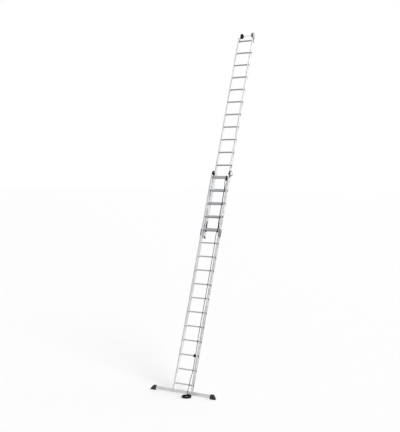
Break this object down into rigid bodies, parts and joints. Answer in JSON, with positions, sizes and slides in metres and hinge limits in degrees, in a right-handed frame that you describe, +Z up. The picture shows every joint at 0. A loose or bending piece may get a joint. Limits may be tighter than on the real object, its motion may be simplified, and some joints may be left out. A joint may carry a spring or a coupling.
{
  "type": "extension ladder",
  "caption": "Rope-operated two-section extension ladder with crossbar stabiliser, rubber boots, wall rollers, pulley, latches and a coiled pull rope.",
  "frame": {"origin": "on the floor, midway between the two rubber boots, 22 mm behind the middle line of their soles", "axes": "+X along the rungs to the climber's right, +Y from the climber to the wall, +Z up; the ladder leans 19.5 degrees back from +Z towards +Y"},
  "size_m": [1.46, 2.8932, 7.1821],
  "materials": {
    "aluminium": "mill finish, satin",
    "cast_grey": "sand cast, matt",
    "bright_steel": "zinc plated",
    "black_steel": "black powder coat",
    "black_plastic": "moulded, fine grain",
    "boot_rubber": "moulded rubber",
    "roller_rubber": "moulded rubber tyre",
    "rope": "laid polypropylene, three strands"
  },
  "bodies": {
    "base": {"base_stile_right": "aluminium", "base_stile_left": "aluminium", "base_rung_01": "aluminium", "base_rung_02": "aluminium", "base_rung_03": "aluminium", "base_rung_04": "aluminium", "base_rung_05": "aluminium", "base_rung_06": "aluminium", "base_rung_07": "aluminium", "base_rung_08": "aluminium", "base_rung_09": "aluminium", "base_rung_10": "aluminium", "base_rung_11": "aluminium", "base_rung_12": "aluminium", "base_rung_13": "aluminium", "base_rung_14": "aluminium", "base_rung_15": "aluminium", "base_rung_16": "aluminium", "crossbar": "aluminium", "boot_right": "boot_rubber", "boot_left": "boot_rubber", "base_guide_right": "black_plastic", "base_guide_left": "black_plastic", "pulley_block": "black_steel", "hoist_rope": "rope", "pull_rope": "rope", "rope_hitch": "rope", "rope_coil": "rope"},
    "fly": {"fly_stile_right": "aluminium", "fly_stile_left": "aluminium", "fly_rung_01": "aluminium", "fly_rung_02": "aluminium", "fly_rung_03": "aluminium", "fly_rung_04": "aluminium", "fly_rung_05": "aluminium", "fly_rung_06": "aluminium", "fly_rung_07": "aluminium", "fly_rung_08": "aluminium", "fly_rung_09": "aluminium", "fly_rung_10": "aluminium", "fly_rung_11": "aluminium", "fly_rung_12": "aluminium", "fly_rung_13": "aluminium", "fly_rung_14": "aluminium", "fly_rung_15": "aluminium", "fly_rung_16": "aluminium", "fly_guide_right": "cast_grey", "fly_guide_left": "cast_grey", "latch_bracket_right": "black_steel", "latch_bracket_left": "black_steel", "roller_bracket_right": "bright_steel", "roller_bracket_left": "bright_steel", "roller_axle": "bright_steel", "hoist_knot": "rope"},
    "sheave": {"pulley_sheave": "black_plastic"},
    "latch": {"latch_hook_right": "black_steel", "latch_hook_left": "black_steel", "latch_shaft": "black_steel"},
    "roller_right": {"wall_roller_right": "roller_rubber"},
    "roller_left": {"wall_roller_left": "roller_rubber"}
  },
  "joints": [
    {"name": "fly_slide", "type": "slide", "parent": "base", "child": "fly", "axis": [0, 0.3338, 0.9426], "range_m": [-3.05, 0], "deforming": ["hoist_rope"]},
    {"name": "sheave_spin", "type": "hinge", "parent": "base", "child": "sheave", "pos_m": [0.142, 1.42402, 4.08331], "axis": [0, 0.9426, -0.3338], "continuous": true},
    {"name": "latch_flip", "type": "hinge", "parent": "fly", "child": "latch", "pos_m": [0, 1.10809, 3.09827], "axis": [1, 0, 0], "range_deg": [0, 100]},
    {"name": "roller_right_spin", "type": "hinge", "parent": "fly", "child": "roller_right", "pos_m": [0.1305, 2.59141, 7.12828], "axis": [1, 0, 0], "continuous": true},
    {"name": "roller_left_spin", "type": "hinge", "parent": "fly", "child": "roller_left", "pos_m": [-0.1305, 2.59141, 7.12828], "axis": [1, 0, 0], "continuous": true}
  ],
  "couplings": [
    {"joint": "sheave_spin", "follows": "fly_slide", "rad_per_m": 41.667}
  ]
}
